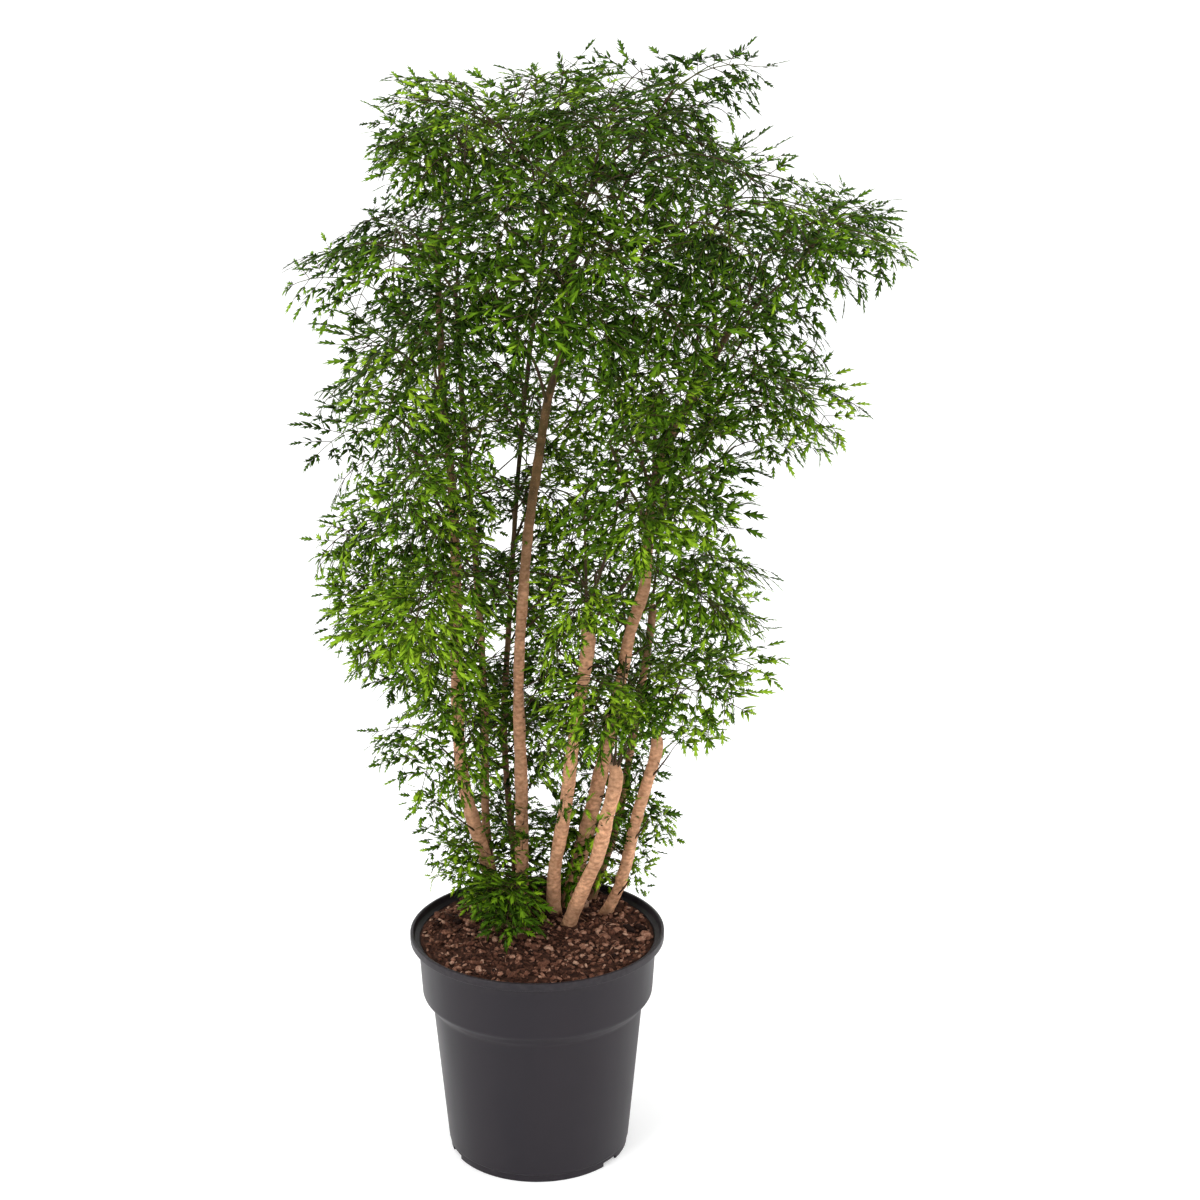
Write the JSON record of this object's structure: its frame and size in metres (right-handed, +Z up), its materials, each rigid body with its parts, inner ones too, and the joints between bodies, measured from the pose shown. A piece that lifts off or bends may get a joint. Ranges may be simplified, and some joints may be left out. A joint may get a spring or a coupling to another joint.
{
  "type": "potted ming aralia",
  "caption": "live ming aralia in a round plastic nursery pot, a cluster of slim woody stems under a tall crown of finely cut fronds",
  "frame": {"origin": "centre of the pot's base, on the ground", "axes": "+Z up, -Y the front as pictured, +X to the right of the front"},
  "size_m": [0.7547, 0.7314, 1.3716],
  "materials": {
    "pot_plastic": "satin moulded nursery pot plastic",
    "potting_mix": "loose bark and coir potting mix",
    "aralia_growth": "living wood with green leaves"
  },
  "bodies": {
    "root": {"pot": "pot_plastic", "soil": "potting_mix", "stem_left": "aralia_growth", "stem_back_left": "aralia_growth", "stem_back": "aralia_growth", "stem_tall": "aralia_growth", "stem_middle": "aralia_growth", "stem_right": "aralia_growth", "stem_front": "aralia_growth", "stem_right_low": "aralia_growth", "stem_back_right": "aralia_growth"}
  },
  "joints": []
}
